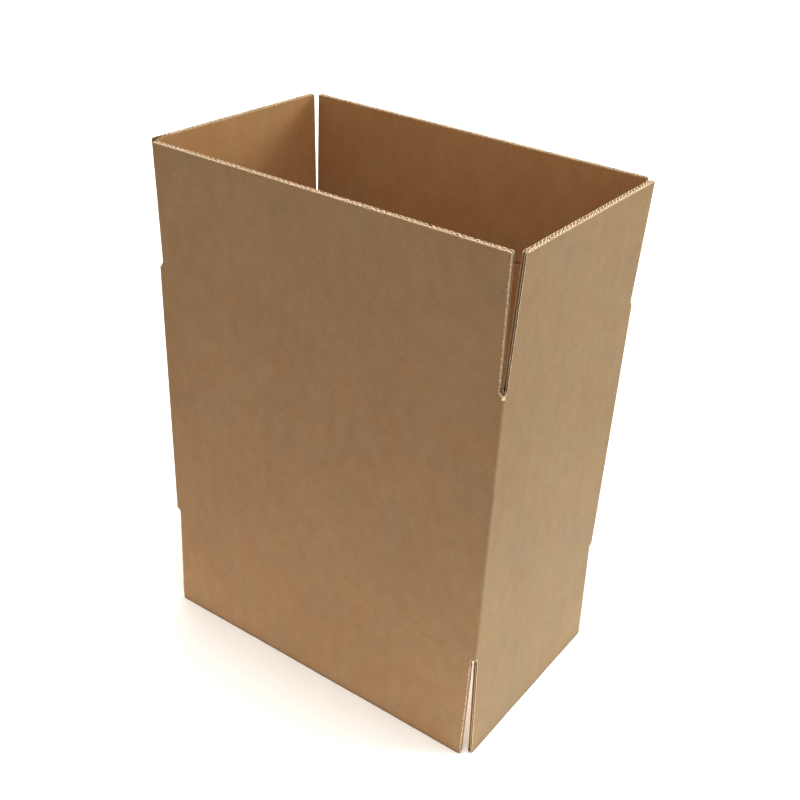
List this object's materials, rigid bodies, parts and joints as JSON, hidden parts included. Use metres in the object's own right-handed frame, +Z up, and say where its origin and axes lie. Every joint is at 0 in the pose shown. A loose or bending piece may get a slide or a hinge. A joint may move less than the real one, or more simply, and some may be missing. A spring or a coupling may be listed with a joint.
{
  "type": "slotted shipping carton",
  "caption": "Upright slotted carton of brown double-wall corrugated board, open at both ends, with hinged top and bottom flaps.",
  "frame": {"origin": "on the floor under the middle of the carton's overall box", "axes": "+X along the long walls, +Y from the front wall to the back wall, +Z up"},
  "size_m": [0.524, 0.3188, 0.6993],
  "materials": {
    "kraft_board": "matt brown kraft corrugated board"
  },
  "bodies": {
    "carton_body": {"carton_body": "kraft_board"},
    "top_flap_front": {"top_flap_front": "kraft_board"},
    "top_flap_right": {"top_flap_right": "kraft_board"},
    "top_flap_back": {"top_flap_back": "kraft_board"},
    "top_flap_left": {"top_flap_left": "kraft_board"},
    "bottom_flap_front": {"bottom_flap_front": "kraft_board"},
    "bottom_flap_right": {"bottom_flap_right": "kraft_board"},
    "bottom_flap_back": {"bottom_flap_back": "kraft_board"},
    "bottom_flap_left": {"bottom_flap_left": "kraft_board"}
  },
  "joints": [
    {"name": "top_front_crease", "type": "hinge", "parent": "carton_body", "child": "top_flap_front", "pos_m": [0, -0.1546, 0.54482], "axis": [-1, 0, 0], "range_deg": [-113.6, 91.4]},
    {"name": "top_right_crease", "type": "hinge", "parent": "carton_body", "child": "top_flap_right", "pos_m": [0.2556, 0, 0.53812], "axis": [0, -1, 0], "range_deg": [-113.1, 91.9]},
    {"name": "top_back_crease", "type": "hinge", "parent": "carton_body", "child": "top_flap_back", "pos_m": [0, 0.1546, 0.54482], "axis": [1, 0, 0], "range_deg": [-114.8, 90.2]},
    {"name": "top_left_crease", "type": "hinge", "parent": "carton_body", "child": "top_flap_left", "pos_m": [-0.2556, 0, 0.53812], "axis": [0, 1, 0], "range_deg": [-113.1, 91.9]},
    {"name": "bottom_front_crease", "type": "hinge", "parent": "carton_body", "child": "bottom_flap_front", "pos_m": [0, -0.1546, 0.15422], "axis": [1, 0, 0], "range_deg": [-113.5, 91.5]},
    {"name": "bottom_right_crease", "type": "hinge", "parent": "carton_body", "child": "bottom_flap_right", "pos_m": [0.2556, 0, 0.16092], "axis": [0, 1, 0], "range_deg": [-113, 92]},
    {"name": "bottom_back_crease", "type": "hinge", "parent": "carton_body", "child": "bottom_flap_back", "pos_m": [0, 0.1546, 0.15422], "axis": [-1, 0, 0], "range_deg": [-113.5, 91.5]},
    {"name": "bottom_left_crease", "type": "hinge", "parent": "carton_body", "child": "bottom_flap_left", "pos_m": [-0.2556, 0, 0.16092], "axis": [0, -1, 0], "range_deg": [-113, 92]}
  ]
}
